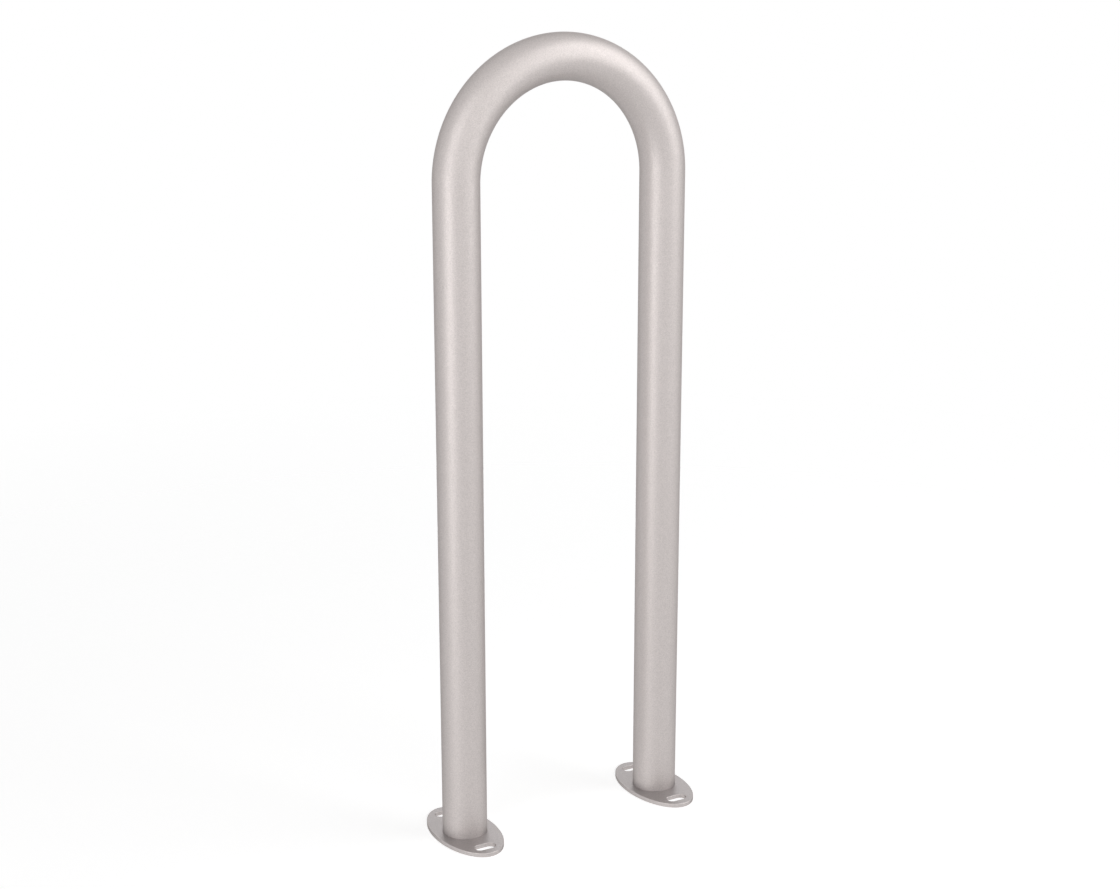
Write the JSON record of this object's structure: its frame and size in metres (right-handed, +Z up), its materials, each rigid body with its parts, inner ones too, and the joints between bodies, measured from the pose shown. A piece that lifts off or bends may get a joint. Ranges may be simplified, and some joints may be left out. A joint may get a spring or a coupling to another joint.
{
  "type": "hoop bike rack",
  "caption": "Narrow inverted-U bike rack of bent round steel tube, its legs welded into oval base plates with anchor slots.",
  "frame": {"origin": "on the ground, midway between the two feet, in the plane of the undersides of the base plates", "axes": "+X from the left foot to the right foot, in the plane of the hoop; +Y across the hoop, along the base plates' long axis; +Z up the legs"},
  "size_m": [0.3278, 0.1332, 0.8932],
  "materials": {
    "powder_coat": "satin",
    "coated_weld": "matte"
  },
  "bodies": {
    "root": {"hoop_tube": "powder_coat", "base_plate_left": "powder_coat", "base_plate_right": "powder_coat", "weld_ring_left": "coated_weld", "weld_ring_right": "coated_weld"}
  },
  "joints": []
}
